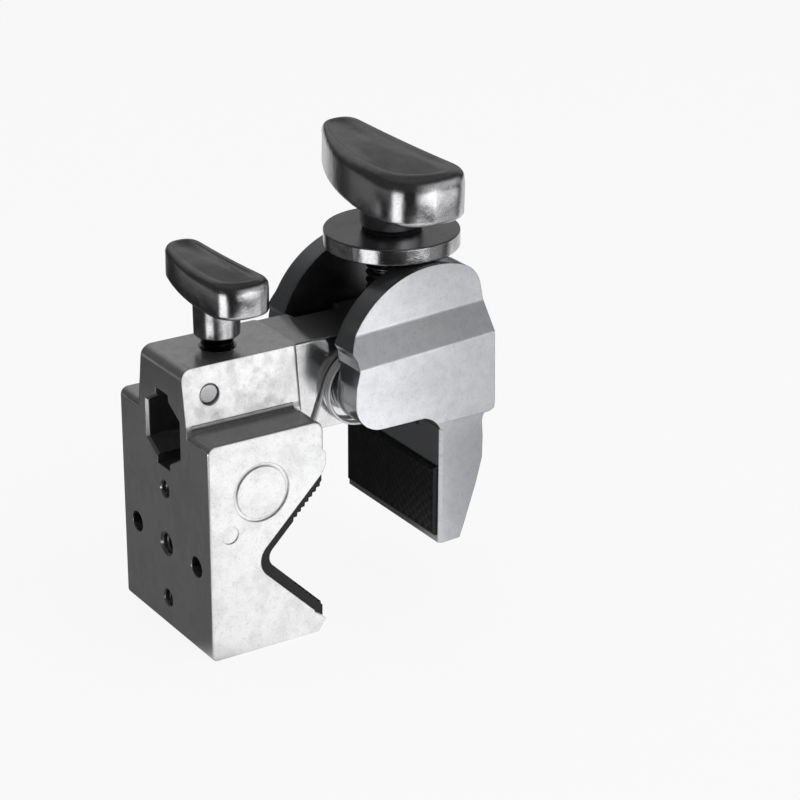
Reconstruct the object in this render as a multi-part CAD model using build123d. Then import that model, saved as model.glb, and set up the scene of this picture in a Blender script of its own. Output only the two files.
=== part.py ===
from build123d import *
import os
from math import cos, sin, pi, radians, sqrt

os.makedirs("parts", exist_ok=True)

# ---------------------------------------------------------------- driving dimensions, mm
# X runs along the arm from the fixed jaw's back face, Y is the pivot direction, Z is up.
BODY_HALF = 22.0          # half width of the fixed jaw
BODY_TOP = 56.2           # shoulder height of the fixed jaw
ARM_TOP = 71.2            # top of the arm and the bar
ARM_HALF_TOP = 9.8        # half width of the arm at its top
ARM_HALF_LOW = 12.0       # half width of the arm at the shoulder
ARM_END = 31.6            # where the arm block stops and the bar carries on
BAR_HALF = 9.5            # half width of the bar
BAR_END = 71.0            # free end of the bar
BAR_LOW = 47.8            # underside of the bar
HEX_AF = 16.2             # hex socket across its flats, for a 16 mm stud
HEX_Z = 52.95             # socket centre height
HEX_DEPTH = 27.0          # socket depth
NOTCH_HALF = 3.1          # half width of the clearance notches at the hex's points
V_ROOT = (11.6, 23.2)     # sharp root of the metal V
PIVOT = (48.3, 57.3)      # jaw pivot, X and Z
PIVOT_R = 4.0             # pivot pin radius
CAM_C = (65.0, 62.0)      # centre of the cam edge of the cheeks
CAM_R = 25.5              # radius of the cam edge
CHEEK_IN = 11.8           # inner face of each cheek from the middle
CHEEK_OUT = 18.5          # outer face of each cheek above the slope band
JAW_HALF = 21.64          # half width of the moving jaw below the slope band
PLATE_X = 65.05           # clamping face of the moving jaw
SCREW_X = 64.5            # main screw axis
SCREW_R = 6.35            # half inch main screw
WASHER_R = 16.84          # press washer radius
WASHER_Z = 87.6           # underside of the press washer
WASHER_T = 4.2            # press washer thickness
LOCK_X = 15.3             # lock screw axis
LOCK_R = 3.97             # five sixteenths lock screw
CATCH = (7.0, 64.2)       # catch pin axis, X and Z
CATCH_R = 2.6             # catch pin radius
SPRING_HOLE = (-10.15, 46.2)   # Y and Z of the hole that holds the torsion spring's leg
ORIGIN_X = 15.0           # the middle of the fixed jaw's bottom face, where the origin goes


def prism(pts, y0, y1):
    """A straight-sided outline in X and Z, pushed from y0 to y1."""
    wire = Polyline(*[(x, y0, z) for x, z in pts], close=True)
    return extrude(make_face(wire), amount=y1 - y0, dir=(0, 1, 0))


def prism_edges(edges, y0, y1):
    """An outline of lines and arcs in X and Z drawn at y = 0, pushed from y0 to y1."""
    face = Pos(0, y0, 0) * make_face(edges)
    return extrude(face, amount=y1 - y0, dir=(0, 1, 0))


def rod(radius, a, b):
    """A plain cylinder between two points."""
    axis = Vector(*b) - Vector(*a)
    plane = Plane(origin=a, z_dir=axis)
    return extrude(plane * Circle(radius), amount=axis.length)


def cone(r0, r1, a, b):
    """A tapered round bar between two points."""
    axis = Vector(*b) - Vector(*a)
    low = Plane(origin=a, z_dir=axis)
    high = Plane(origin=b, z_dir=axis)
    return loft([low * Circle(r0), high * Circle(r1)])


def y_edges(shape, x, z, tol=0.6):
    """Edges parallel to Y that pass within tol of a point in X and Z."""
    found = []
    for e in shape.edges().filter_by(Axis.Y):
        c = e.center()
        if abs(c.X - x) < tol and abs(c.Z - z) < tol:
            found.append(e)
    return found


def save(shape, name):
    """Write one piece, moved so the origin lies at the middle of the fixed jaw's bottom face."""
    moved = Pos(-ORIGIN_X, 0, 0) * shape
    moved.label = name
    export_step(moved, "parts/" + name + ".step")


# ---------------------------------------------------------------- fixed jaw casting
k = V_ROOT[1] - V_ROOT[0]
s = V_ROOT[1] + V_ROOT[0]
body_outline = [
    (0, 0), (29.3, 0), (31.6, 3.4), (28.55, 5.85), (28.4, s - 28.4),
    V_ROOT, (30.8, 30.8 + k), (31.9, 44.7), (31.9, 47.6), (31.3, 48.3),
    (31.3, BODY_TOP), (0, BODY_TOP),
]
body = prism(body_outline, -BODY_HALF, BODY_HALF)
body = fillet(y_edges(body, *V_ROOT), 5.0)
body = fillet(y_edges(body, 31.3, BODY_TOP), 2.8)
body = fillet(y_edges(body, 0, BODY_TOP), 2.0)
body = fillet(y_edges(body, 0, 0), 1.6)
back_verticals = [e for e in body.edges().filter_by(Axis.Z) if abs(e.center().X) < 0.1]
body = fillet(back_verticals, 0.6)

arm_wire = Polyline(
    (0, -ARM_HALF_TOP, ARM_TOP), (0, ARM_HALF_TOP, ARM_TOP),
    (0, ARM_HALF_LOW, BODY_TOP), (0, ARM_HALF_LOW, 49),
    (0, -ARM_HALF_LOW, 49), (0, -ARM_HALF_LOW, BODY_TOP), close=True)
arm = extrude(make_face(arm_wire), amount=ARM_END, dir=(1, 0, 0))
arm_back = [e for e in arm.edges().filter_by(Axis.Y) if e.center().X < 0.1 and e.center().Z > 70]
arm = fillet(arm_back, 2.7)
arm_front = [e for e in arm.edges() if abs(e.center().X - ARM_END) < 0.01
             and e.center().Z > BODY_TOP and abs(e.center().Y) > 9]
arm = fillet(arm_front, 1.2)

bar_outline = [
    (24, BAR_LOW), (60.0, BAR_LOW), (BAR_END, 54.5), (BAR_END, ARM_TOP), (24, ARM_TOP),
]
bar = prism(bar_outline, -BAR_HALF, BAR_HALF)
bar_ends = [e for e in bar.edges().filter_by(Axis.Z) if e.center().X > BAR_END - 0.1]
bar = fillet(bar_ends, 3.0)
long_top = [e for e in bar.edges().filter_by(Axis.X) if e.center().Z > ARM_TOP - 0.1]
bar = fillet(long_top, 0.5)

fixed = body + arm + bar
LEDGE_R = 1.4
for side in (-1, 1):
    y_in = side * (ARM_HALF_LOW - 0.4)
    y_out = side * (ARM_HALF_LOW + LEDGE_R)
    bead = Polyline((1.3, y_in, BODY_TOP - 0.3), (1.3, y_out, BODY_TOP - 0.3),
                    (1.3, y_out, BODY_TOP + LEDGE_R), (1.3, y_in, BODY_TOP + LEDGE_R), close=True)
    bead = extrude(make_face(bead), amount=27.6, dir=(1, 0, 0))
    hollow = rod(LEDGE_R, (1, y_out, BODY_TOP + LEDGE_R), (30, y_out, BODY_TOP + LEDGE_R))
    fixed = fixed + (bead - hollow)

# hex socket with its two relief notches, entered from the back
hex_plane = Plane(origin=(-1, 0, HEX_Z), x_dir=(0, 0, 1), z_dir=(1, 0, 0))
hex_r = HEX_AF / sqrt(3)
hex_cut = extrude(hex_plane * RegularPolygon(hex_r, 6), amount=HEX_DEPTH + 1)
notch = extrude(hex_plane * Rectangle(2 * 9.85, 2 * NOTCH_HALF), amount=HEX_DEPTH + 1)
mouth_a = hex_plane * RegularPolygon(hex_r + 1.65, 6)
mouth_plane = Plane(origin=(0.65, 0, HEX_Z), x_dir=(0, 0, 1), z_dir=(1, 0, 0))
mouth = loft([mouth_a, mouth_plane * RegularPolygon(hex_r, 6)])
fixed = fixed - hex_cut - notch - mouth

# tapped and plain holes in the back face: Y, Z, core radius, mouth radius, depth
BACK_HOLES = [
    (0, 37.3, 2.05, 2.4, 13.0),
    (0, 22.7, 2.60, 3.2, 9.5),
    (0, 8.1, 2.05, 2.4, 13.0),
    (15.0, 22.7, 2.60, 2.75, 8.0),
    (-15.0, 22.7, 2.60, 2.75, 8.0),
]
for y, z, r, mouth_r, depth in BACK_HOLES:
    lead = mouth_r - r
    fixed = fixed - rod(r, (-1, y, z), (depth, y, z))
    fixed = fixed - cone(r + 2 * lead, r, (-lead, y, z), (lead, y, z))

# ring groove and small round marks left on the near and far flanks
for side in (-1, 1):
    face_y = side * BODY_HALF
    ring = rod(7.5, (14.2, face_y - 0.45 * side, 41.5), (14.2, face_y + side, 41.5))
    core = rod(6.6, (14.2, face_y - side, 41.5), (14.2, face_y + 2 * side, 41.5))
    fixed = fixed - (ring - core)
    fixed = fixed - rod(2.2, (5.6, face_y - 0.25 * side, 32.4), (5.6, face_y + side, 32.4))

# hole in the front face for the torsion spring's leg
fixed = fixed - rod(0.6, (27, SPRING_HOLE[0], SPRING_HOLE[1]), (33, SPRING_HOLE[0], SPRING_HOLE[1]))

# lock screw bore down to the socket
fixed = fixed - rod(LOCK_R + 0.05, (LOCK_X, 0, 60), (LOCK_X, 0, ARM_TOP + 1))
fixed = fixed - cone(LOCK_R + 0.05, LOCK_R + 1.25, (LOCK_X, 0, ARM_TOP - 0.6), (LOCK_X, 0, ARM_TOP + 0.6))

# catch pin bore: narrow at the near side, wider from the stop shoulder to the far side
cx, cz = CATCH
fixed = fixed - rod(CATCH_R + 0.05, (cx, -15, cz), (cx, 3.0, cz))
fixed = fixed - rod(3.0, (cx, 2.6, cz), (cx, 15, cz))

# pivot bore and screw insert bore in the bar
px, pz = PIVOT
fixed = fixed - rod(PIVOT_R + 0.05, (px, -12, pz), (px, 12, pz))
fixed = fixed - rod(8.0, (SCREW_X, 0, 40), (SCREW_X, 0, ARM_TOP + 1))

# relief pocket along the bar's far top edge, between the arm and the screw
pocket = Pos(46.6, 8.2, ARM_TOP) * Box(13.6, 4.4, 5.0)
pocket = pocket - Pos(40.8, 8.2, ARM_TOP - 3.0) * Rot(0, 45, 0) * Box(3.4, 5, 3.4)
fixed = fixed - pocket
save(fixed, "fixed_jaw")

# ---------------------------------------------------------------- V jaw rubber
PAD_K = 8.6               # inner face of the upper leg: X = Z - PAD_K
PAD_S = 38.6              # inner face of the lower leg: X = PAD_S - Z
TOOTH = 1.5
PAD_END = 30.9
upper = []
z = PAD_END + PAD_K
for i in range(8):
    zt = z - i * TOOTH * 0.7071
    xt = zt - PAD_K
    upper.append((xt - 0.42, zt + 0.42))
    upper.append((xt - 0.53, zt - 0.53))
lower = []
for i in range(8):
    zt = PAD_S - PAD_END + i * TOOTH * 0.7071
    xt = PAD_S - zt
    lower.append((xt - 0.42, zt - 0.42))
    lower.append((xt - 0.53, zt + 0.53))
root_x = (PAD_S - PAD_K) / 2
root_z = (PAD_S + PAD_K) / 2
pad_outline = [(28.4, s - 28.4), V_ROOT, (PAD_END, PAD_END + k)]
pad_outline += [(PAD_END, PAD_END + PAD_K + 0.9)] + upper
pad_outline += [(root_x, root_z)]
pad_outline += lower[::-1] + [(PAD_END, PAD_S - PAD_END - 0.6), (PAD_END, 4.15), (28.7, 5.9)]
v_pad = prism(pad_outline, -21.6, 21.6)
v_pad = fillet(y_edges(v_pad, *V_ROOT), 5.0)
v_pad = fillet(y_edges(v_pad, root_x, root_z), 3.0)
save(v_pad, "v_jaw_pad")

# ---------------------------------------------------------------- moving jaw casting
corner_c = (70.475, 78.62)
corner_r = 8.0


def on(c, r, deg):
    return (c[0] + r * cos(radians(deg)), 0, c[1] + r * sin(radians(deg)))


cam_start = on(CAM_C, CAM_R, 161.7)
cam_end = on(CAM_C, CAM_R, 71.8)
side_edges = [
    ThreePointArc(cam_start, on(CAM_C, CAM_R, 115), cam_end),
    ThreePointArc(cam_end, on(corner_c, corner_r, 42), on(corner_c, corner_r, 12)),
    Polyline(
        on(corner_c, corner_r, 12), (80.7, 0, 68.4), (81.1, 0, 49.9), (80.9, 0, 48.0),
        (79.2, 0, 47.2), (78.3, 0, 46.2), (78.0, 0, 45.0), (78.3, 0, 40.5), (78.2, 0, 34.9),
        (76.4, 0, 28.4), (72.6, 0, 17.6), (71.4, 0, 14.6), (PLATE_X, 0, 14.6),
        (PLATE_X, 0, 45.6)),
    ThreePointArc((PLATE_X, 0, 45.6), (63.3, 0, 48.1), (60.2, 0, 49.7)),
    Line((60.2, 0, 49.7), (px, 0, 49.7)),
    ThreePointArc((px, 0, 49.7), on(PIVOT, 7.6, 225), on(PIVOT, 7.6, 175)),
    Polyline(on(PIVOT, 7.6, 175), (40.9, 0, 61.6), (41.9, 0, 65.8), (41.7, 0, 68.2), cam_start),
]
jaw = prism_edges(side_edges, -JAW_HALF, JAW_HALF)

# hollow between the cheeks, round the bar, with the rear web left standing
hollow_outline = [
    (30, 43.5), (PLATE_X, 43.5), (70.0, 44.6), (75.4, 49.2), (76.6, 57.3), (76.4, 62.0),
    (77.2, 65.5), (90, 69.0), (90, 100), (30, 100),
]
jaw = jaw - prism(hollow_outline, -CHEEK_IN, CHEEK_IN)

BAND_SOFT = 2.0
# slope band: the cheeks step in above it
for side in (-1, 1):
    band = Polyline(
        (30, side * CHEEK_OUT, 110), (30, side * CHEEK_OUT, 74.9), (30, side * (JAW_HALF + 0.01), 66.95),
        (30, side * 30, 66.95), (30, side * 30, 110), close=True)
    cutter = extrude(make_face(band), amount=60, dir=(1, 0, 0))
    cutter = cutter.rotate(Axis((60, 0, 70), (0, 1, 0)), -3.2)
    jaw = jaw - cutter
    flank = Polyline(
        (64.0, side * (JAW_HALF + 0.02), -5), (85, side * (JAW_HALF + 0.02), -5),
        (85, side * (JAW_HALF - 1.5), -5), close=True)
    jaw = jaw - extrude(make_face(flank), amount=52.3, dir=(0, 0, 1))

# softened edges of the slope band, and of the clamping plate's upright sides
band_edges = [e for e in jaw.edges() if e.length > 25 and abs(e.center().Y) > 18 and 64 < e.center().Z < 78
              and abs(e.bounding_box().size.Y) < 0.2 and abs(e.bounding_box().size.X) > 20]
for e in band_edges:
    near = min(jaw.edges(), key=lambda q: (q.center() - e.center()).length)
    jaw = fillet([near], BAND_SOFT)
for side in (-1, 1):
    corner = Polyline(
        (PLATE_X - 0.1, side * (JAW_HALF - 0.9), 5), (PLATE_X - 0.1, side * (JAW_HALF + 0.1), 5),
        (PLATE_X + 0.9, side * (JAW_HALF + 0.1), 5), close=True)
    jaw = jaw - extrude(make_face(corner), amount=40.5, dir=(0, 0, 1))

SPRING_ROOM_R = 10.2
# pivot bosses inside the cheeks, the near one ringed by a pocket for the spring's coil, and the
# pin bore, blind at the near cheek
for side in (-1, 1):
    jaw = jaw + rod(7.0, (px, side * 9.8, pz), (px, side * 13, pz))
spring_room = rod(SPRING_ROOM_R, (px, -13.1, pz), (px, -11, pz)) - rod(7.0, (px, -14, pz), (px, -9, pz))
jaw = jaw - spring_room
jaw = jaw - rod(PIVOT_R + 0.01, (px, -17.5, pz), (px, 30, pz))

# shallow seat for the flat pad
PAD_LOW = 16.5
PAD_HIGH = 35.1
PAD_HALF = 20.3
seat = Pos(PLATE_X, 0, (PAD_LOW + PAD_HIGH) / 2) * Box(2.4, 2 * PAD_HALF + 0.1, PAD_HIGH - PAD_LOW + 0.1)
jaw = jaw - seat
save(jaw, "moving_jaw")

pad = Pos(PLATE_X + 0.1, 0, (PAD_LOW + PAD_HIGH) / 2) * Box(2.2, 2 * PAD_HALF, PAD_HIGH - PAD_LOW)
front = [e for e in pad.edges() if e.center().X < PLATE_X - 0.9]
pad = chamfer(front, 0.4)
save(pad, "flat_jaw_pad")

# ---------------------------------------------------------------- pivot pin and spring
pin = rod(PIVOT_R, (px, -17.4, pz), (px, 21.4, pz))
pin = chamfer(pin.edges().filter_by(GeomType.CIRCLE), 0.4)
save(pin, "pivot_pin")

COIL_R = 9.4
WIRE = 0.42
TURNS = 2.5
LEAD = 0.95
SPRING_START = 161.6
LEG_Y = SPRING_HOLE[0]
LEG_PTS = [(28.8, 46.2), (31.4, 46.2), (33.6, 47.0), (35.1, 48.9), (36.6, 52.3), (38.3, 57.2)]
pts = [(x, LEG_Y, z) for x, z in LEG_PTS]
n = 36
for i in range(n + 1):
    a = radians(SPRING_START) - 2 * pi * TURNS * i / n
    pts.append((px + COIL_R * cos(a), LEG_Y - LEAD * TURNS * i / n, pz + COIL_R * sin(a)))
wire_path = Spline(*pts)
wire_plane = Plane(origin=wire_path @ 0, z_dir=wire_path % 0)
spring = sweep(wire_plane * Circle(WIRE), path=wire_path)
save(spring, "torsion_spring")

# ---------------------------------------------------------------- handles
# corners run far-front, near-front, near-back, far-back, with their radii, then the
# middle points of the bowed front and back edges; all from the screw axis
BIG_GRIP = (
    [(-2.2, 29.3), (-13.6, -25.2), (7.0, -25.2), (6.9, 29.3)],
    [4.4, 7.5, 4.4, 4.2], (-13.2, 3.0), (6.0, 0.0))
SMALL_GRIP = (
    [(-3.9, 19.3), (-7.4, -17.4), (6.2, -17.4), (4.6, 19.3)],
    [4.0, 4.6, 3.0, 3.6], (-8.3, 0.0), (4.7, 0.0))


PANEL_DEPTH = 0.45


def grip(shape, axis_x, z0, z1, top_r, low_r, rim):
    """A cast grip: a bowed slab with rounded edges and a shallow panel, open to the back, in its top."""
    corners, radii, front_mid, back_mid = shape
    p = [(axis_x + x, y, z0) for x, y in corners]
    front = ThreePointArc(p[0], (axis_x + front_mid[0], front_mid[1], z0), p[1])
    back = ThreePointArc(p[2], (axis_x + back_mid[0], back_mid[1], z0), p[3])
    face = make_face([front, Line(p[1], p[2]), back, Line(p[3], p[0])])
    for point, radius in zip(p, radii):
        near = min(face.vertices(), key=lambda v: (Vector(v.X, v.Y, v.Z) - Vector(*point)).length)
        face = fillet([near], radius)
    slab = extrude(face, amount=z1 - z0, dir=(0, 0, 1))
    tops = [e for e in slab.edges() if abs(e.center().Z - z1) < 0.01]
    slab = fillet(tops, top_r)
    lows = [e for e in slab.edges() if abs(e.center().Z - z0) < 0.01]
    slab = fillet(lows, low_r)
    inset = top_r + rim
    panel_z = z1 - PANEL_DEPTH
    inner = offset(Pos(0, 0, panel_z - z0) * face, amount=-inset)
    panel = extrude(inner, amount=5, dir=(0, 0, 1))
    y_low = corners[1][1] + inset
    y_high = corners[0][1] - inset
    x_low = corners[2][0] - inset - 0.6
    way_out = Pos(axis_x + x_low + 10, (y_low + y_high) / 2, panel_z + 2.5) * Box(20, y_high - y_low, 5)
    return slab - panel - way_out


NECK_LOW = 92.75
SCREW_TOP = 103.2
GRIP_LOW = 101.7
GRIP_TOP = 112.5
big = grip(BIG_GRIP, SCREW_X, GRIP_LOW, GRIP_TOP, 3.0, 3.0, 0.6)
neck = cone(7.75, 8.7, (SCREW_X, 0, NECK_LOW), (SCREW_X, 0, GRIP_LOW + 2))
low_ring = [e for e in neck.edges().filter_by(GeomType.CIRCLE) if e.center().Z < NECK_LOW + 0.1]
neck = fillet(low_ring, 0.6)
big = big + neck - rod(SCREW_R + 0.01, (SCREW_X, 0, 90), (SCREW_X, 0, SCREW_TOP + 0.1))
save(big, "main_handle")

LOCK_NECK_LOW = 73.7
LOCK_GRIP_LOW = 84.4
LOCK_GRIP_TOP = 92.5
small = grip(SMALL_GRIP, LOCK_X, LOCK_GRIP_LOW, LOCK_GRIP_TOP, 2.0, 2.2, 0.6)
s_neck = cone(5.6, 5.75, (LOCK_X, 0, LOCK_NECK_LOW), (LOCK_X, 0, LOCK_GRIP_LOW + 2))
low_ring = [e for e in s_neck.edges().filter_by(GeomType.CIRCLE) if e.center().Z < LOCK_NECK_LOW + 0.1]
s_neck = chamfer(low_ring, 0.9)
small = small + s_neck - rod(LOCK_R + 0.01, (LOCK_X, 0, 72), (LOCK_X, 0, 88.5))
save(small, "lock_handle")

# ---------------------------------------------------------------- main screw group
SCREW_LOW = 56.0
COLLAR_T = 3.4
main_screw = rod(SCREW_R, (SCREW_X, 0, SCREW_LOW), (SCREW_X, 0, SCREW_TOP))
main_screw = chamfer(main_screw.edges().filter_by(GeomType.CIRCLE), 0.8)
collar_z = WASHER_Z - 0.05 - COLLAR_T
pin_z = collar_z + COLLAR_T / 2
pin_hole = rod(1.02, (SCREW_X, -10, pin_z), (SCREW_X, 10, pin_z))
save(main_screw - pin_hole, "main_screw")

collar = rod(7.4, (SCREW_X, 0, collar_z), (SCREW_X, 0, collar_z + COLLAR_T))
collar = chamfer(collar.edges().filter_by(GeomType.CIRCLE), 0.3)
collar = collar - rod(SCREW_R + 0.01, (SCREW_X, 0, 80), (SCREW_X, 0, 90)) - pin_hole
save(collar, "screw_collar")

collar_pin = rod(1.0, (SCREW_X, -7.2, pin_z), (SCREW_X, 7.2, pin_z))
collar_pin = collar_pin - rod(0.45, (SCREW_X, -8, pin_z), (SCREW_X, 8, pin_z))
save(collar_pin, "collar_pin")

washer = rod(WASHER_R, (SCREW_X, 0, WASHER_Z), (SCREW_X, 0, WASHER_Z + WASHER_T))
washer = fillet(washer.edges().filter_by(GeomType.CIRCLE), 0.4)
washer = washer - rod(SCREW_R + 0.08, (SCREW_X, 0, 80), (SCREW_X, 0, 95))
save(washer, "press_washer")

thrust_z = WASHER_Z + WASHER_T
thrust = rod(7.3, (SCREW_X, 0, thrust_z), (SCREW_X, 0, thrust_z + 0.85))
thrust = thrust - rod(SCREW_R + 0.08, (SCREW_X, 0, 80), (SCREW_X, 0, 95))
save(thrust, "thrust_washer")

insert_low = 46.0
insert = rod(8.0, (SCREW_X, 0, insert_low), (SCREW_X, 0, ARM_TOP - 0.2))
insert = insert - rod(SCREW_R + 0.05, (SCREW_X, 0, 40), (SCREW_X, 0, 80))
under = prism([(50, 30), (90, 30), (90, 65.58), (60.0, BAR_LOW), (50, BAR_LOW)], -12, 12)
insert = insert - under
save(insert, "screw_insert")

# ---------------------------------------------------------------- lock screw group
lock_screw = rod(LOCK_R, (LOCK_X, 0, 64.7), (LOCK_X, 0, 88.4))
lock_screw = chamfer(lock_screw.edges().filter_by(GeomType.CIRCLE), 0.5)
save(lock_screw, "lock_screw")

tip = rod(LOCK_R - 0.02, (LOCK_X, 0, 62.8), (LOCK_X, 0, 64.65))
tip_low = [e for e in tip.edges().filter_by(GeomType.CIRCLE) if e.center().Z < 63]
tip = chamfer(tip_low, 0.6)
save(tip, "lock_tip")

# ---------------------------------------------------------------- stud catch
catch = rod(CATCH_R, (cx, -10.4, cz), (cx, 3.0, cz)) + rod(2.93, (cx, 2.65, cz), (cx, 4.0, cz))
near_edge = [e for e in catch.edges().filter_by(GeomType.CIRCLE) if e.center().Y < -10.2]
catch = fillet(near_edge, 0.6)
waist = rod(3.5, (cx, -4.2, cz), (cx, -1.4, cz)) - rod(1.4, (cx, -5, cz), (cx, 0, cz))
catch = catch - waist
save(catch, "catch_pin")

pitch = 1.05
coil_path = Helix(pitch=pitch, height=3.95, radius=2.2, center=(cx, 4.3, cz), direction=(0, 1, 0))
coil_plane = Plane(origin=coil_path @ 0, z_dir=coil_path % 0)
catch_spring = sweep(coil_plane * Circle(0.25), path=coil_path)
save(catch_spring, "catch_spring")

plug = rod(2.99, (cx, 8.55, cz), (cx, 10.6, cz))
save(plug, "catch_plug")
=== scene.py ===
import math

import bpy
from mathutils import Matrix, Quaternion, Vector


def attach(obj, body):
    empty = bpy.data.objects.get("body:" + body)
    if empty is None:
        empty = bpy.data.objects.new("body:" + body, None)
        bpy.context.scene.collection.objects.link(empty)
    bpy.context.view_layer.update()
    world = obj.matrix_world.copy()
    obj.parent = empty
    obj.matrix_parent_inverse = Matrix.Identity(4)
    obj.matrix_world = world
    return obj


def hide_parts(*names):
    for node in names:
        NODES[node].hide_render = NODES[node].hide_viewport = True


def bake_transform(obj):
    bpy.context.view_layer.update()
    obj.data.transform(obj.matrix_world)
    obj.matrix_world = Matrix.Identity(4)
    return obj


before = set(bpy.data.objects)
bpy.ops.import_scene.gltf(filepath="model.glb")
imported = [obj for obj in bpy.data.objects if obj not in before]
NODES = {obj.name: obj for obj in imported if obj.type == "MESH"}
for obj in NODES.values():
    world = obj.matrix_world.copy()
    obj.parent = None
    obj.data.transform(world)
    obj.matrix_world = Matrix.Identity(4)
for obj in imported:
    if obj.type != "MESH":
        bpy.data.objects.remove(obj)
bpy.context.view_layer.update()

# ---------------------------------------------------------------- places shared with the CAD, in metres

MM = 0.001
ARM_END = 16.6 * MM       # where the arm block stops and the bar carries on
BAR_LOW = 47.8 * MM       # underside of the bar
SHOULDER = 56.2 * MM      # top of the fixed jaw's shoulder, where the arm starts
BACK_FACE = -15.0 * MM    # the fixed jaw's back
SCREW_X = 49.5 * MM       # main screw axis
LOCK_X = 0.3 * MM         # lock screw axis
CATCH_X = -8.0 * MM       # stud catch axis
CATCH_Z = 64.2 * MM
COIL_FAR = 8.5 * MM
PAD_FACE = 49.05 * MM     # clamping face of the flat pad
MIDDLE = Vector((25.0, 0.0, 55.0)) * MM    # the middle of the clamp

# ---------------------------------------------------------------- shader helpers


class Level:
    """One shader value that adds and multiplies like a number."""

    def __init__(self, nodes, socket):
        self.nodes = nodes
        self.socket = socket

    def _sum(self, operation, first, second=0.0):
        made = self.nodes.node("ShaderNodeMath", {"operation": operation}, {0: first, 1: second})
        return Level(self.nodes, made.outputs[0])

    def __add__(self, other):
        return self._sum("ADD", self, other)

    def __radd__(self, other):
        return self._sum("ADD", other, self)

    def __sub__(self, other):
        return self._sum("SUBTRACT", self, other)

    def __rsub__(self, other):
        return self._sum("SUBTRACT", other, self)

    def __mul__(self, other):
        return self._sum("MULTIPLY", self, other)

    def __rmul__(self, other):
        return self._sum("MULTIPLY", other, self)

    def __pow__(self, other):
        return self._sum("POWER", self, other)

    def least(self, other):
        """The smaller of two values."""
        return self._sum("MINIMUM", self, other)

    def most(self, other):
        """The larger of two values."""
        return self._sum("MAXIMUM", self, other)

    def size(self):
        """The value without its sign."""
        return self._sum("ABSOLUTE", self)

    def angle(self, other):
        """The angle in radians from the axis of other towards the axis of self."""
        return self._sum("ARCTAN2", self, other)

    def step(self, low, high):
        """0 below low, 1 above high and a smooth rise between them."""
        made = self.nodes.node(
            "ShaderNodeMapRange", {"interpolation_type": "SMOOTHSTEP", "clamp": True},
            {"Value": self, "From Min": low, "From Max": high})
        return Level(self.nodes, made.outputs[0])

    def band(self, low, high, soft):
        """1 between low and high, with edges that fall away over soft to each side of them."""
        return self.step(low - soft, low + soft) - self.step(high - soft, high + soft)


class Nodes:
    """A node tree, and the one method that adds nodes to it."""

    def __init__(self, tree):
        self.tree = tree
        tree.nodes.clear()

    def node(self, kind, settings=None, values=None):
        """A new node: its settings come first, then the values or links of its sockets."""
        made = self.tree.nodes.new(kind)
        for key, value in (settings or {}).items():
            setattr(made, key, value)
        for key, value in (values or {}).items():
            socket = made.inputs[key]
            if isinstance(value, Level):
                value = value.socket
            if isinstance(value, bpy.types.NodeSocket):
                self.tree.links.new(value, socket)
            elif socket.type == "RGBA":
                socket.default_value = (*value, 1.0)
            else:
                socket.default_value = value
        return made

    def ray(self, kind):
        """1 for one kind of ray, such as Camera or Glossy, and 0 for the others."""
        made = self.node("ShaderNodeLightPath")
        return Level(self, made.outputs[f"Is {kind} Ray"])

    def glow(self, color):
        """A shader that gives off a colour as it is written, or a level as a grey."""
        return self.node("ShaderNodeEmission", None, {"Color": color, "Strength": 1.0}).outputs[0]

    def choose(self, share, first, second):
        """A mix of two shaders: the first where share is 0 and the second where it is 1."""
        return self.node("ShaderNodeMixShader", None, {0: share, 1: first, 2: second}).outputs[0]


class Finish(Nodes):
    """One procedural material, worked out in object coordinates."""

    def __init__(self, name):
        self.mat = bpy.data.materials.new(name)
        self.mat.use_nodes = True
        super().__init__(self.mat.node_tree)
        self.place = self.node("ShaderNodeTexCoord").outputs["Object"]

    def noise(self, scale, detail=2.0, roughness=0.5, stretch=None):
        """Soft random cloud, finer as scale goes up, and drawn out where stretch is given."""
        where = self.place
        if stretch is not None:
            where = self.node("ShaderNodeMapping", None, {"Vector": where, "Scale": stretch}).outputs[0]
        made = self.node("ShaderNodeTexNoise", {"noise_dimensions": "3D"},
                         {"Vector": where, "Scale": scale, "Detail": detail, "Roughness": roughness})
        return Level(self, made.outputs["Fac"])

    def cells(self, scale):
        """Distance to the nearest of many scattered points."""
        made = self.node("ShaderNodeTexVoronoi", {"feature": "F1"}, {"Vector": self.place, "Scale": scale})
        return Level(self, made.outputs["Distance"])

    def axis(self, letter):
        """The place along one axis, in metres."""
        made = self.node("ShaderNodeSeparateXYZ", None, {0: self.place})
        return Level(self, made.outputs[letter])

    def facing(self, letter):
        """How far the surface faces along one axis, from -1 to 1."""
        where = self.node("ShaderNodeTexCoord").outputs["Normal"]
        made = self.node("ShaderNodeSeparateXYZ", None, {0: where})
        return Level(self, made.outputs[letter])

    def blend(self, share, first, second, way="MIX"):
        """A mix of two colours: the first where share is 0 and the second where it is 1."""
        made = self.node("ShaderNodeMix", {"data_type": "RGBA", "blend_type": way},
                         {0: share, 6: first, 7: second})
        return made.outputs[2]

    def rounded(self, radius):
        """The surface direction with its sharp edges softened over a radius."""
        return self.node("ShaderNodeBevel", {"samples": 4}, {"Radius": radius}).outputs["Normal"]

    def bump(self, height, strength, distance, under=None):
        """Fine relief that changes the surface direction, on top of another where given."""
        values = {"Height": height, "Strength": strength, "Distance": distance}
        if under is not None:
            values["Normal"] = under
        return self.node("ShaderNodeBump", None, values).outputs["Normal"]

    def surface(self, color, roughness, metallic, normal):
        """Ends the material in an ordinary surface shader."""
        shader = self.node("ShaderNodeBsdfPrincipled", None,
                           {"Base Color": color, "Roughness": roughness, "Metallic": metallic,
                            "Normal": normal})
        return self.end(shader.outputs[0])

    def end(self, shader):
        """Sends a shader to the material's output."""
        self.node("ShaderNodeOutputMaterial", None, {"Surface": shader})
        return self.mat


# ---------------------------------------------------------------- finishes


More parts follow.
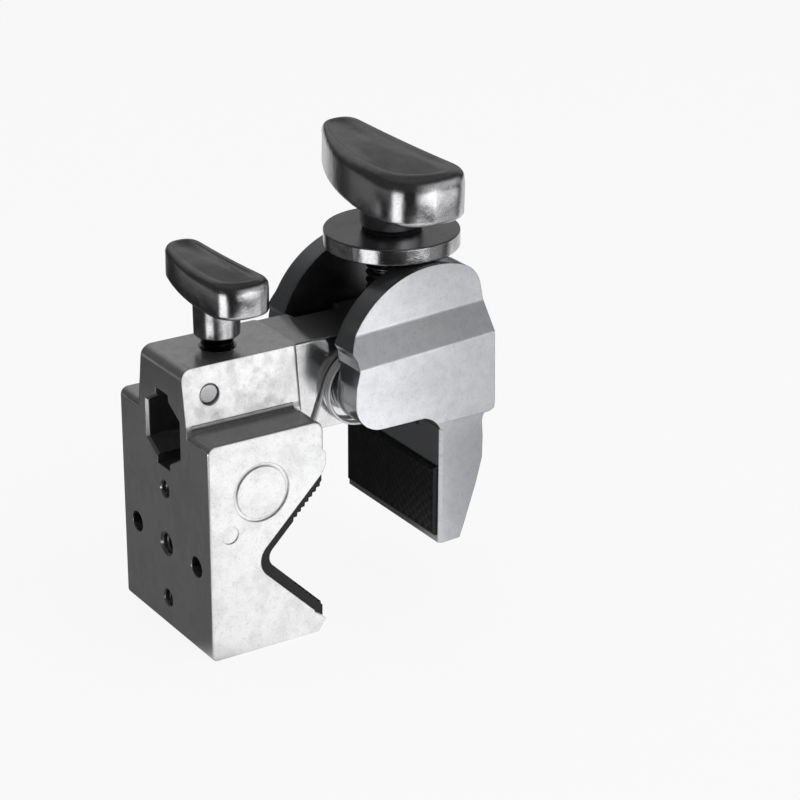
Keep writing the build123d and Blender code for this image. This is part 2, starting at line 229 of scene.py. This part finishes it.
def flank_of(f):
    """1 on the flat sides of a casting, which face along the jaw pivot."""
    return f.facing("Y").size().step(0.84, 0.92)


def cast_aluminium(name, light, dark, rough, shading):
    """Die casting: pale blasted flanks with fine flecks and smoother elsewhere, with painted shade from
    shading multiplied into the colour.
    """
    f = Finish(name)
    flank = flank_of(f)
    grain = f.noise(2100, 4, 0.7)
    flecks = f.noise(1150, 3, 0.7).step(0.56, 0.70)
    pores = f.cells(900).step(0.10, 0.22)
    cloud = (f.noise(90, 2, 0.5) * 0.5 + f.noise(380, 3, 0.6) * 0.5).step(0.42, 0.62)
    blasted = 0.55 * flecks + 0.32 * grain.step(0.4, 0.7) + 0.34 * cloud + 0.25 * (1 - pores)
    shade, polish = shading(f)
    # painted shade: the bevelled direction leaves the true one at an edge, which draws a dark line round the
    # flanks
    round_edge = f.rounded(0.3 * MM)
    flat = f.node("ShaderNodeNewGeometry").outputs["True Normal"]
    match = f.node("ShaderNodeVectorMath", {"operation": "DOT_PRODUCT"}, {0: round_edge, 1: flat})
    edge = (1 - Level(f, match.outputs["Value"])).step(0.03, 0.22) * flank
    # painted shade: the blasted colour times the jaw's painted shade and the dark line at the edges
    color = f.blend(1.0, f.blend(blasted.least(1.0), light, dark), shade * (1 - 0.55 * edge), "MULTIPLY")
    roughness = (0.10 * grain + 0.08 * cloud + rough) * (0.55 + 0.45 * flank) * (1 - 0.55 * polish)
    metallic = 1 - 0.10 * (1 - flank)
    fine = f.bump(grain + 0.6 * pores, 0.12, 0.07 * MM, round_edge)
    return f.surface(color, roughness, metallic, fine)


def fixed_jaw_shading(f):
    """Painted shade on the fixed jaw: the polished bar darker, darker still on its top between the cheeks,
    along the shoulder bead and inside the holes in the back.
    """
    x = f.axis("X")
    side = f.axis("Y").size()
    height = f.axis("Z")
    # painted shade: the bar past the arm, polished and a quarter darker
    bar = x.step(ARM_END - 0.3 * MM, ARM_END + 0.4 * MM) * height.step(BAR_LOW + 0.2 * MM, BAR_LOW + 0.8 * MM)
    # painted shade on the top of the bar between the cheeks
    painted_shade_under_cheeks = bar * f.facing("Z").step(0.5, 0.9) * x.step(18.0 * MM, 34.0 * MM)
    # painted shade along the bead where the arm rises from the shoulder
    painted_shade_bead = height.band(SHOULDER, SHOULDER + 1.4 * MM, 0.3 * MM) * side.band(11.6 * MM, 13.6 * MM, 0.4 * MM)
    # painted shade inside the tapped holes and the stud socket, from just behind the back face
    screw_holes = height.band(4.5 * MM, 55.0 * MM, 0.3 * MM) * (1 - side.step(18.3 * MM, 18.7 * MM))
    stud_hole = height.band(43.2 * MM, 62.9 * MM, 0.3 * MM) * (1 - side.step(8.8 * MM, 9.4 * MM))
    past_face = x.step(BACK_FACE + 0.01 * MM, BACK_FACE + 0.1 * MM)
    inside = past_face * (1 - x.step(-4.8 * MM, -4.4 * MM))
    shade = 1 - 0.25 * bar - 0.40 * painted_shade_under_cheeks - 0.5 * painted_shade_bead
    return shade * (1 - 0.5 * screw_holes.most(stud_hole) * inside), bar


def moving_jaw_shading(f):
    """Painted shade on the swing jaw: rims and the room between the cheeks are dark, back-facing chamfers
    darker, the flank greys away from the pivot, and the top of the cheeks is greyer.
    """
    x = f.axis("X")
    height = f.axis("Z")
    between = 1 - f.axis("Y").size().step(12.2 * MM, 13.0 * MM)
    outer = flank_of(f) * (1 - between)
    # painted shade on chamfers that face back and to the side
    corner = (f.facing("Y").size() * f.facing("X") * -1).step(0.36, 0.44)
    # painted shade: off the outer flanks, the rims, cam edges and faces between the cheeks are about half as
    # bright
    rim = (1 - outer) * (1 - corner)
    rim_painted_shade = 1 - (0.50 - 0.08 * between * height.step(46.0 * MM, 52.0 * MM))
    # painted shade: the outer flank greys away from the pivot, most of all low down
    flank_painted_shade = 0.34 - 0.14 * height.step(40.0 * MM, 50.0 * MM)
    shade = 1 - flank_painted_shade * outer * x.step(30.0 * MM, 58.0 * MM) - rim * rim_painted_shade - 0.35 * corner
    # painted shade on the top of the cheeks, over a line that climbs gently away from the arm
    over_line = height - x * 0.0558 - 72.4 * MM
    top = over_line.step(2.0 * MM, 14.0 * MM) * x.step(28.0 * MM, 50.0 * MM)
    return shade * (1 - 0.22 * top), rim * 0.1


def dark_plating(name, light, dark, rough, edge):
    """Polished dark plating over a slightly uneven casting, with painted shade underneath."""
    f = Finish(name)
    cloud = f.noise(150, 3, 0.6)
    grain = f.noise(2600, 3, 0.65)
    pits = f.cells(750).step(0.0, 0.25)
    up = f.facing("Z").step(0.6, 0.95)
    under = (f.facing("Z") * -1).step(0.15, 0.5)
    painted_underside_shade = (0.03, 0.03, 0.032)
    color = f.blend((cloud * 0.5 + grain * 0.5).step(0.36, 0.64), dark, light)
    # painted shade on the faces that turn downward
    color = f.blend(under * 0.5, color, painted_underside_shade)
    roughness = up * 0.14 + cloud * 0.08 + grain * 0.08 + rough
    wave = f.bump(f.noise(170, 2, 0.5), 0.18, 0.7 * MM, f.rounded(edge))
    fine = f.bump(pits * 0.4 + grain, 0.16, 0.1 * MM, wave)
    return f.surface(color, roughness, 1.0, fine)


def turned_steel(name, light, dark, rough, metallic=1.0):
    """Turned or drawn metal with fine rings round its length."""
    f = Finish(name)
    rings = f.noise(1400, 2, 0.6, (0.15, 0.15, 1.5))
    cloud = f.noise(220, 3, 0.6)
    color = f.blend((rings * 0.5 + cloud * 0.5).step(0.3, 0.7), dark, light)
    fine = f.bump(rings, 0.1, 0.05 * MM)
    return f.surface(color, rings * 0.15 + rough, metallic, fine)


def black_rubber(name, base):
    """Matt black with a fine grain and a little pale dust."""
    f = Finish(name)
    grain = f.noise(3000, 3, 0.7)
    dust = f.noise(260, 4, 0.65).step(0.5, 0.75)
    dusty = tuple(c * 2.6 + 0.01 for c in base)
    color = f.blend((dust * 0.5 + grain * 0.3).step(0.0, 1.0), base, dusty)
    fine = f.bump(grain, 0.35, 0.1 * MM)
    return f.surface(color, 0.18 * grain + 0.5, 0.0, fine)


FINISHES = {
    "fixed_jaw": cast_aluminium("jaw_casting", (0.95, 0.95, 0.955), (0.70, 0.70, 0.71), 0.30,
                                fixed_jaw_shading),
    "moving_jaw": cast_aluminium("swing_jaw_casting", (0.905, 0.918, 0.945), (0.69, 0.71, 0.75), 0.30,
                                 moving_jaw_shading),
    "main_handle": dark_plating("large_grip_plating", (0.60, 0.60, 0.61), (0.42, 0.42, 0.43), 0.12,
                                0.6 * MM),
    "lock_handle": dark_plating("small_grip_plating", (0.58, 0.58, 0.59), (0.40, 0.40, 0.41), 0.11,
                                0.5 * MM),
    "press_washer": dark_plating("washer_plating", (0.50, 0.50, 0.51), (0.38, 0.38, 0.39), 0.07,
                                 0.3 * MM),
    "thrust_washer": black_rubber("thrust_ring_black", (0.012, 0.012, 0.012)),
    "v_jaw_pad": black_rubber("ribbed_rubber", (0.006, 0.006, 0.0065)),
    "flat_jaw_pad": black_rubber("pad_rubber", (0.006, 0.006, 0.006)),
    "main_screw": turned_steel("main_thread_steel", (0.20, 0.20, 0.21), (0.10, 0.10, 0.105), 0.28),
    "screw_collar": turned_steel("collar_steel", (0.30, 0.30, 0.31), (0.18, 0.18, 0.19), 0.25),
    "collar_pin": turned_steel("pin_steel", (0.40, 0.40, 0.41), (0.25, 0.25, 0.26), 0.25),
    "lock_screw": turned_steel("black_thread_steel", (0.03, 0.03, 0.032), (0.012, 0.012, 0.013), 0.3),
    "lock_tip": turned_steel("tip_brass", (0.70, 0.52, 0.24), (0.48, 0.34, 0.15), 0.3),
    "screw_insert": turned_steel("insert_steel", (0.50, 0.50, 0.51), (0.34, 0.34, 0.35), 0.3),
    "pivot_pin": turned_steel("pivot_steel", (0.60, 0.60, 0.61), (0.42, 0.42, 0.43), 0.25),
    "torsion_spring": turned_steel("spring_wire", (0.90, 0.90, 0.91), (0.78, 0.78, 0.79), 0.30,
                                   metallic=0.55),
    "catch_pin": turned_steel("catch_steel", (0.70, 0.70, 0.71), (0.50, 0.50, 0.51), 0.3),
    "catch_spring": turned_steel("catch_wire", (0.62, 0.62, 0.63), (0.40, 0.40, 0.41), 0.25),
    "catch_plug": turned_steel("plug_metal", (0.62, 0.62, 0.63), (0.44, 0.44, 0.45), 0.3),
}
for node, finish in FINISHES.items():
    for slot in NODES[node].material_slots:
        slot.material = finish

# ---------------------------------------------------------------- modelling helpers

WELD = 0.001 * MM    # points nearer than this become one


def select_none():
    """Deselects every object, because an operator acts on all that is selected."""
    bpy.ops.object.select_all(action="DESELECT")


def take(made):
    """Selects one object alone and makes it the active one."""
    select_none()
    made.select_set(True)
    bpy.context.view_layer.objects.active = made


def open_mesh(made):
    """Takes one object into edit mode with all of its mesh selected."""
    take(made)
    bpy.ops.object.mode_set(mode="EDIT")
    bpy.ops.mesh.select_all(action="SELECT")


def turn_selected(degrees, axis, centre=(0, 0, 0)):
    """Turns the selection about an axis; with no window the operator goes the other way."""
    bpy.ops.transform.rotate(value=math.radians(-degrees), orient_axis=axis, orient_type="GLOBAL",
                             center_override=centre)


def first_point(name, point):
    """A new mesh of one vertex, left in edit mode with that vertex selected."""
    select_none()
    bpy.ops.mesh.primitive_plane_add(size=2 * MM, location=(0, 0, 0))
    made = bpy.context.object
    made.name = name
    bpy.ops.object.mode_set(mode="EDIT")
    bpy.ops.mesh.select_all(action="SELECT")
    bpy.ops.mesh.merge(type="CENTER")
    bpy.ops.transform.translate(value=point)
    return made


def line_through(name, points):
    """A new mesh drawn point by point, left in edit mode and all selected."""
    made = first_point(name, points[0])
    for start, end in zip(points, points[1:]):
        bpy.ops.mesh.extrude_vertices_move(TRANSFORM_OT_translate={"value": Vector(end) - Vector(start)})
    bpy.ops.mesh.select_all(action="SELECT")
    return made


def finish_mesh(made, angle):
    """Welds the mesh, turns its faces outward and shades it smooth up to an angle in degrees."""
    bpy.ops.object.mode_set(mode="EDIT")
    bpy.ops.mesh.select_all(action="SELECT")
    bpy.ops.mesh.remove_doubles(threshold=WELD)
    bpy.ops.mesh.normals_make_consistent(inside=False)
    bpy.ops.object.mode_set(mode="OBJECT")
    take(made)
    bpy.ops.object.shade_smooth_by_angle(angle=math.radians(angle))
    return made


def join(first, other):
    """Makes two meshes one, which keeps the first one's name."""
    take(other)
    first.select_set(True)
    bpy.context.view_layer.objects.active = first
    bpy.ops.object.join()


def coat(made, finish):
    """Gives a new piece its one finish."""
    made.data.materials.clear()
    made.data.materials.append(finish)


def place(made, finish, body, node=None):
    """Gives a piece its finish, ties it to its body and lets it stand in for a CAD node."""
    coat(made, finish)
    if node is not None:
        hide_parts(node)
    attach(made, body)


def lathe(name, profile):
    """A round piece about the Z axis from a profile of (radius, height) pairs."""
    made = line_through(name, [(radius, 0, height) for radius, height in profile])
    bpy.ops.mesh.spin(steps=48, angle=math.tau, center=(0, 0, 0), axis=(0, 0, 1))
    bpy.ops.mesh.select_all(action="SELECT")
    bpy.ops.mesh.remove_doubles(threshold=WELD)
    bpy.ops.object.mode_set(mode="OBJECT")
    return made


def screw_sweep(name, outline, pitch, turns, steps):
    """A closed outline in X and Z swept round the Z axis as it climbs, with its two ends filled."""
    made = line_through(name, outline + [outline[0]])
    bpy.ops.mesh.remove_doubles(threshold=WELD)
    bpy.ops.object.mode_set(mode="OBJECT")
    screw = made.modifiers.new("climb", "SCREW")
    screw.angle = math.tau
    screw.screw_offset = pitch
    screw.iterations = turns
    screw.steps = steps
    screw.render_steps = steps
    take(made)
    bpy.ops.object.modifier_apply(modifier="climb")
    open_mesh(made)
    bpy.ops.mesh.fill_holes(sides=len(outline))
    bpy.ops.object.mode_set(mode="OBJECT")
    return made


def thread_ridge(name, root, crest, pitch, turns, steps):
    """The raised helix of a screw thread about the Z axis, starting at height 0."""
    flank = 0.44 * pitch
    land = 0.07 * pitch
    outline = [(root, 0, -flank), (crest, 0, -land), (crest, 0, land), (root, 0, flank)]
    return screw_sweep(name, outline, pitch, turns, steps)


def move_mesh(made, shift, degrees=0, axis="X"):
    """Tips a mesh about an axis if asked, then moves it; the object itself stays put."""
    open_mesh(made)
    if degrees:
        turn_selected(degrees, axis)
    bpy.ops.transform.translate(value=shift)
    bpy.ops.object.mode_set(mode="OBJECT")


# ---------------------------------------------------------------- screws

MAIN_PITCH = 25.4 / 13 * MM    # 13 threads to the inch
LOCK_PITCH = 25.4 / 18 * MM


def threaded_bar(name, crest, depth, pitch, low, high, first, turns, x):
    """A round bar with softened ends and a thread that starts at the height first."""
    root = crest - depth
    soft = 0.8 * MM
    sunk = 0.05 * MM
    core = lathe(name, [(0, low), (root - soft, low), (root, low + soft), (root, high - soft),
                        (root - soft, high), (0, high)])
    ridge = thread_ridge(name + "_ridge", root - sunk, crest, pitch, turns, 30)
    move_mesh(ridge, (0, 0, first))
    join(core, ridge)
    move_mesh(core, (x, 0, 0))
    return finish_mesh(core, 30)


main_bar = threaded_bar("main_thread", crest=6.35 * MM, depth=0.95 * MM, pitch=MAIN_PITCH,
                        low=56.0 * MM, high=103.2 * MM, first=58.0 * MM, turns=16, x=SCREW_X)
place(main_bar, FINISHES["main_screw"], "main_screw_body", "main_screw")
lock_bar = threaded_bar("lock_thread", crest=3.97 * MM, depth=0.7 * MM, pitch=LOCK_PITCH,
                        low=64.7 * MM, high=88.4 * MM, first=65.9 * MM, turns=14, x=LOCK_X)
place(lock_bar, FINISHES["lock_screw"], "lock_screw_body", "lock_screw")

# ---------------------------------------------------------------- tapped holes in the back face

CUT_THREAD = turned_steel("cut_thread", (0.42, 0.42, 0.43), (0.28, 0.28, 0.29), 0.32)


def tapped_thread(name, height, radius, pitch, turns):
    """The thread that stands in from a tapped hole's wall, from just behind its mouth."""
    mouth = 1.1 * MM
    sunk = 0.06 * MM
    rise = 0.24 * MM
    ridge = thread_ridge(name, radius + sunk, radius - rise, pitch, turns, 24)
    move_mesh(ridge, (BACK_FACE + mouth + 0.5 * pitch, 0, height), 90, "Y")
    finish_mesh(ridge, 30)
    place(ridge, CUT_THREAD, "fixed_body", None)


tapped_thread("tapped_upper", height=37.3 * MM, radius=2.05 * MM, pitch=0.847 * MM, turns=12)
tapped_thread("tapped_centre", height=22.7 * MM, radius=2.60 * MM, pitch=1.27 * MM, turns=6)
tapped_thread("tapped_lower", height=8.1 * MM, radius=2.05 * MM, pitch=0.847 * MM, turns=12)

# ---------------------------------------------------------------- catch spring, between the catch pin and the plug


def catch_spring():
    """A wire coil between the catch pin and the plug."""
    turns = 3
    pitch = 1.24 * MM
    coil = 2.2 * MM
    wire = 0.25 * MM
    angles = [math.tau * k / 8 for k in range(8)]
    section = [(coil + wire * math.cos(a), 0, wire * math.sin(a)) for a in angles]
    made = screw_sweep("catch_coil", section, pitch, turns, 24)
    move_mesh(made, (CATCH_X, COIL_FAR - wire - turns * pitch, CATCH_Z), -90, "X")
    finish_mesh(made, 40)
    coat(made, FINISHES["catch_spring"])
    return made


catch_coil = catch_spring()
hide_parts("catch_spring")
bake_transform(catch_coil)

# ---------------------------------------------------------------- raised diamonds on the flat pad


def pad_diamonds():
    """A field of low pyramids set corner to corner, trimmed to the pad and closed behind."""
    half_width = 19.5 * MM
    low = 17.3 * MM
    high = 34.3 * MM
    rows = 30
    diamond = 2.0 * MM
    rise = 0.22 * MM
    sunk = 0.02 * MM
    depth = 0.6 * MM
    select_none()
    bpy.ops.mesh.primitive_grid_add(x_subdivisions=rows, y_subdivisions=rows, size=rows * diamond,
                                    location=(0, 0, 0))
    made = bpy.context.object
    made.name = "pad_diamonds"
    bpy.ops.object.mode_set(mode="EDIT")
    bpy.ops.mesh.select_all(action="SELECT")
    turn_selected(-45, "Z")
    bpy.ops.mesh.poke(offset=rise)
    turn_selected(-90, "Y")
    bpy.ops.transform.translate(value=(PAD_FACE - sunk, 0, (low + high) / 2))
    for point, outward in (((0, half_width, 0), (0, 1, 0)), ((0, -half_width, 0), (0, -1, 0)),
                           ((0, 0, high), (0, 0, 1)), ((0, 0, low), (0, 0, -1))):
        bpy.ops.mesh.select_all(action="SELECT")
        bpy.ops.mesh.bisect(plane_co=point, plane_no=outward, clear_outer=True)
    bpy.ops.mesh.select_all(action="SELECT")
    bpy.ops.mesh.region_to_loop()
    bpy.ops.mesh.extrude_region_move(TRANSFORM_OT_translate={"value": (depth, 0, 0)})
    bpy.ops.mesh.edge_face_add()
    return finish_mesh(made, 20)


place(pad_diamonds(), FINISHES["flat_jaw_pad"], "moving_jaw_body", None)

# ---------------------------------------------------------------- cast grips, with their sizes in mm

SIDE_STEPS = 11      # straight runs in one bowed side of a grip
CORNER_STEPS = 9     # and in one of its corners
ROUND_STEPS = 7      # and in its rounded rim


def through(start, middle, end):
    """The control point of the curve that leaves start, passes middle and reaches end."""
    return tuple(2 * m - (a + b) / 2 for a, m, b in zip(start, middle, end))


def on_curve(start, control, end, t):
    """The point of a curve at t, from 0 at its start to 1 at its end."""
    return tuple((1 - t) ** 2 * a + 2 * t * (1 - t) * c + t * t * b for a, c, b in zip(start, control, end))


def bowed_outline(corners, radii, middles):
    """A closed outline of bowed sides with softened corners."""
    sides = []
    for i, corner in enumerate(corners):
        other = corners[(i + 1) % len(corners)]
        control = through(corner, middles[i], other)
        span = math.dist(corner, other)
        first = radii[i] / span
        last = 1 - radii[(i + 1) % len(corners)] / span
        shares = [first + (last - first) * k / SIDE_STEPS for k in range(SIDE_STEPS + 1)]
        sides.append([on_curve(corner, control, other, t) for t in shares])
    outline = []
    for i, side in enumerate(sides):
        shares = [k / CORNER_STEPS for k in range(1, CORNER_STEPS)]
        outline += [on_curve(sides[i - 1][-1], corners[i], side[0], t) for t in shares]
        outline += side
    return outline


def pick(made, test):
    """Selects the faces whose middle passes the test, and goes to edit mode."""
    bpy.ops.object.mode_set(mode="EDIT")
    bpy.ops.mesh.select_mode(type="FACE")
    bpy.ops.mesh.select_all(action="DESELECT")
    bpy.ops.object.mode_set(mode="OBJECT")
    for face in made.data.polygons:
        face.select = test(face.center)
    bpy.ops.object.mode_set(mode="EDIT")


def rise_and_shrink(rise, before, after, half, centre):
    """Pulls the picked face out by rise, and draws its rim in from one inset to the next."""
    bpy.ops.mesh.extrude_region_move(TRANSFORM_OT_translate={"value": (0, 0, rise)})
    ratio = [(size - after) / (size - before) for size in half]
    bpy.ops.transform.resize(value=(ratio[0], ratio[1], 1), orient_type="GLOBAL", center_override=centre)


def round_over(radius, way, half, centre):
    """Rounds the rim of the picked face along a quarter circle; way is 1 upward and -1 downward."""
    angles = [math.radians(90) * k / ROUND_STEPS for k in range(ROUND_STEPS + 1)]
    for low, high in zip(angles, angles[1:]):
        rise = way * radius * (math.sin(high) - math.sin(low))
        rise_and_shrink(rise, radius * (1 - math.cos(low)), radius * (1 - math.cos(high)), half, centre)


def cast_grip(name, axis_x, plan, low, high, top_r, low_r, droop, neck):
    """A cast T grip: a bowed slab rounded all round, with a sunk top panel and a flared neck."""
    margin = 0.5 * MM
    panel_slope = 0.45 * MM
    panel_depth = 0.35 * MM
    droop_line = (0, 18 * MM, low * MM)
    outline = bowed_outline(*plan)
    start = low + low_r
    xs = [x for x, y in outline]
    ys = [y for x, y in outline]
    half = ((max(xs) - min(xs)) / 2 * MM, (max(ys) - min(ys)) / 2 * MM)
    centre = ((max(xs) + min(xs)) / 2 * MM, (max(ys) + min(ys)) / 2 * MM, 0)
    made = line_through(name, [(x * MM, y * MM, start * MM) for x, y in outline])
    bpy.ops.mesh.edge_face_add()
    bpy.ops.mesh.extrude_region_move(TRANSFORM_OT_translate={"value": (0, 0, (high - top_r - start) * MM)})
    top = (high - top_r - 0.01) * MM
    pick(made, lambda c: c.z > top)
    round_over(top_r * MM, 1, half, centre)
    rim = top_r * MM
    rise_and_shrink(0, rim, rim + margin, half, centre)
    rise_and_shrink(-panel_depth, rim + margin, rim + margin + panel_slope, half, centre)
    bottom = (start + 0.01) * MM
    pick(made, lambda c: c.z < bottom)
    round_over(low_r * MM, -1, half, centre)
    middle = (low + high) / 2 * MM
    pick(made, lambda c: c.z < middle)
    turn_selected(droop, "X", droop_line)
    bpy.ops.mesh.select_mode(type="VERT")
    bpy.ops.object.mode_set(mode="OBJECT")
    stem = lathe(name + "_neck", [(radius * MM, height * MM) for radius, height in neck])
    join(made, stem)
    move_mesh(made, (axis_x, 0, 0))
    return finish_mesh(made, 40)


# each plan is its four corners, their radii and a point that each side passes
LARGE_PLAN = ([(-2.2, 29.3), (-13.6, -24.3), (7.0, -24.3), (6.9, 29.3)], [4.3, 9.0, 6.2, 4.3],
              [(-13.2, 3.0), (-3.3, -25.6), (6.2, 0.0), (2.4, 29.3)])
LARGE_NECK = [(0, 92.75), (7.15, 92.75), (7.6, 92.95), (7.75, 93.35), (8.05, 97.0), (8.4, 100.4),
              (8.7, 101.6), (9.1, 102.6), (8.9, 103.6), (8.2, 104.1), (0, 104.1)]
SMALL_PLAN = ([(-3.9, 19.3), (-7.4, -16.8), (6.2, -16.8), (4.6, 19.3)], [4.0, 5.4, 4.2, 4.0],
              [(-8.3, 0.0), (-0.6, -17.7), (4.8, 0.0), (0.3, 19.3)])
SMALL_NECK = [(0, 73.7), (4.7, 73.7), (5.6, 74.6), (5.72, 82.8), (5.95, 84.0), (6.3, 84.9),
              (6.2, 85.8), (5.6, 86.4), (0, 86.4)]
large_grip = cast_grip("large_grip", SCREW_X, LARGE_PLAN, low=101.7, high=112.5, top_r=2.6, low_r=1.3,
                       droop=2.3, neck=LARGE_NECK)
place(large_grip, FINISHES["main_handle"], "main_screw_body", "main_handle")
small_grip = cast_grip("small_grip", LOCK_X, SMALL_PLAN, low=84.4, high=92.5, top_r=1.9, low_r=1.1,
                       droop=1.5, neck=SMALL_NECK)
place(small_grip, FINISHES["lock_handle"], "lock_screw_body", "lock_handle")

# ---------------------------------------------------------------- floor and surround


def floor_cards(f):
    """What polished metal mirrors in the floor: a dim ground with bright cards on it."""
    x = f.axis("X")
    y = f.axis("Y")
    # along leads to the floor that the near flanks mirror, and across from the arm to the moving jaw
    along = x * 0.51 - y * 0.86
    across = x * 0.86 + y * 0.51
    # turn is 0 towards the camera and grows to its right; reach is the way out from the hub, a point
    # just beside the main screw
    from_hub = x - 45.0 * MM
    ahead = from_hub * -0.541 + y * -0.841
    aside = from_hub * 0.841 + y * -0.541
    turn = aside.angle(ahead)
    reach = (ahead * ahead + aside * aside) ** 0.5
    ring = reach.band(0.18, 0.60, 0.01)
    outer_ring = reach.band(0.245, 0.60, 0.01)
    near = along.band(0.012, 0.20, 0.014)
    cards = 0.075 - 0.05 * reach.step(0.17, 0.21)
    # close in, for the flanks, and a dimmer one beside it
    cards = cards + across.band(-0.10, 0.046, 0.014) * near * (0.92 + 0.24 * along.step(0.02, 0.16))
    cards = cards + 0.42 * across.band(0.052, 0.26, 0.02) * near
    # a bright strip past the end of the close one
    cards = cards + 1.1 * across.band(0.008, 0.046, 0.008) * along.band(0.20, 0.24, 0.012)
    # far out, for sides that lean back: a bright one for the arm, and a weaker one past it
    cards = cards + 2.5 * across.band(-0.35, 0.028, 0.014) * along.band(0.315, 1.15, 0.015)
    cards = cards + 0.95 * across.band(0.034, 0.28, 0.014) * along.band(0.36, 0.62, 0.015)
    # wedges on the camera's left and right
    cards = cards + 2.0 * turn.band(-0.88, -0.40, 0.05) * ring
    cards = cards + turn.band(1.0, 1.65, 0.15) * (0.55 * ring - 0.25 * outer_ring)
    cards = cards + 0.15 * turn.band(-2.2, -0.95, 0.15) * reach.band(0.262, 0.60, 0.006)
    # a thin arc in front, and an even light behind the clamp
    cards = cards + 0.6 * turn.band(0.0, 0.7, 0.12) * reach.band(0.168, 0.194, 0.006)
    return cards + 0.75 * (1 - turn.band(-2.62, 1.9, 0.2)) * reach.step(0.05, 0.09)


def floor_finish():
    """White to the camera with its shadow kept, and dark with bright cards to mirrors."""
    f = Finish("floor_white")
    white_share = 0.9
    pale = f.node("ShaderNodeBsdfPrincipled", None, {"Base Color": (0.9, 0.9, 0.9), "Roughness": 0.9})
    seen = f.choose(f.ray("Camera") * white_share, pale.outputs[0], f.glow((1, 1, 1)))
    mirrored = (f.ray("Glossy") + f.ray("Transmission")).least(1.0)
    return f.end(f.choose(mirrored, seen, f.glow(floor_cards(f))))


def studio_floor():
    """A wide pale floor a hair under the clamp."""
    select_none()
    bpy.ops.mesh.primitive_plane_add(size=8.0, location=(0, 0, -0.3 * MM))
    made = bpy.context.object
    made.name = "studio_floor"
    made.data.materials.append(floor_finish())


def surround_finish(radius):
    """Grey walls with a soft glow behind the clamp and a stronger one that its near flanks mirror."""
    f = Finish("surround_grey")
    x = f.axis("X") * (1 / radius)
    y = f.axis("Y") * (1 / radius)
    z = f.axis("Z")
    rear_wall = (x * 0.545 + y * 0.84).step(0.45, 0.98)
    front_wall = (x * 0.52 - y * 0.85).step(0.6, 0.98)
    behind = rear_wall * z.step(0.05, 0.45) * (1 - z.step(0.9, 1.5))
    front = front_wall * (1.55 - 0.6 * z.step(0.1, 0.4)) * (1 - z.step(0.30, 0.74))
    ceiling = z.step(1.0, 1.5)
    return f.end(f.glow(0.045 + behind * 0.19 + front * 0.42 + ceiling * 0.03))


def studio_surround(radius, height):
    """Dim studio walls and ceiling that only reflections see, with the bottom left open."""
    select_none()
    bpy.ops.mesh.primitive_cylinder_add(vertices=64, radius=radius, depth=height, end_fill_type="NGON",
                                        location=(MIDDLE.x, 0, height / 2 - 50.0 * MM))
    made = bpy.context.object
    made.name = "studio_surround"
    bpy.ops.object.transform_apply(location=True, rotation=True, scale=True)
    pick(made, lambda c: c.z < 0)
    bpy.ops.mesh.delete(type="FACE")
    bpy.ops.object.mode_set(mode="OBJECT")
    made.data.materials.append(surround_finish(radius))
    made.visible_camera = False
    made.visible_shadow = False
    made.visible_diffuse = False
    made.visible_transmission = False


studio_floor()
studio_surround(radius=1.2, height=1.6)

# ---------------------------------------------------------------- lamps and world

AMBIENT = 0.35    # strength of the even light from all round


def softbox(name, where, side, watts):
    """A square soft lamp aimed at the clamp, which reflections don't see."""
    select_none()
    bpy.ops.object.light_add(type="AREA", location=where)
    lamp = bpy.context.object
    lamp.name = name
    lamp.data.shape = "SQUARE"
    lamp.data.size = side
    lamp.data.energy = watts
    lamp.rotation_mode = "QUATERNION"
    lamp.rotation_quaternion = (MIDDLE - Vector(where)).to_track_quat("-Z", "Y")
    lamp.visible_glossy = False


softbox("key_box", (0.28, -0.45, 0.75), side=0.35, watts=1.2)
softbox("top_box", (0.12, 0.10, 0.95), side=0.5, watts=0.6)


def studio_world():
    """Even light from all round, and plain white to the camera and to mirrors."""
    world = bpy.data.worlds.new("studio_world")
    bpy.context.scene.world = world
    world.use_nodes = True
    w = Nodes(world.node_tree)
    seen = (w.ray("Camera") + w.ray("Glossy") + w.ray("Transmission")).least(1.0)
    light = w.node("ShaderNodeBackground", None, {"Color": (1, 1, 1), "Strength": AMBIENT})
    white = w.node("ShaderNodeBackground", None, {"Color": (1, 1, 1), "Strength": 1.0})
    shown = w.choose(seen, light.outputs[0], white.outputs[0])
    w.node("ShaderNodeOutputWorld", None, {"Surface": shown})


studio_world()

# ---------------------------------------------------------------- camera

CAMERA_PLACE = Vector((-277.65, -507.76, 301.28)) * MM
HEADING = math.radians(33.007)    # from +Y towards +X
DIP = math.radians(22.916)        # below level
ROLL = math.radians(0.284)


def main_camera():
    """A long lens that looks down on the clamp's near flank and back."""
    select_none()
    bpy.ops.object.camera_add(location=CAMERA_PLACE)
    camera = bpy.context.object
    camera.name = "main_camera"
    heading = Quaternion((0, 0, 1), -HEADING)
    tilt = Quaternion((1, 0, 0), math.radians(90) - DIP)
    roll = Quaternion((0, 0, 1), ROLL)
    camera.rotation_mode = "QUATERNION"
    camera.rotation_quaternion = heading @ tilt @ roll
    camera.data.sensor_width = 36.0
    camera.data.lens = 117.56
    camera.data.clip_start = 0.02
    camera.data.clip_end = 30.0
    bpy.context.scene.camera = camera


main_camera()
bpy.context.scene.view_settings.view_transform = "Standard"
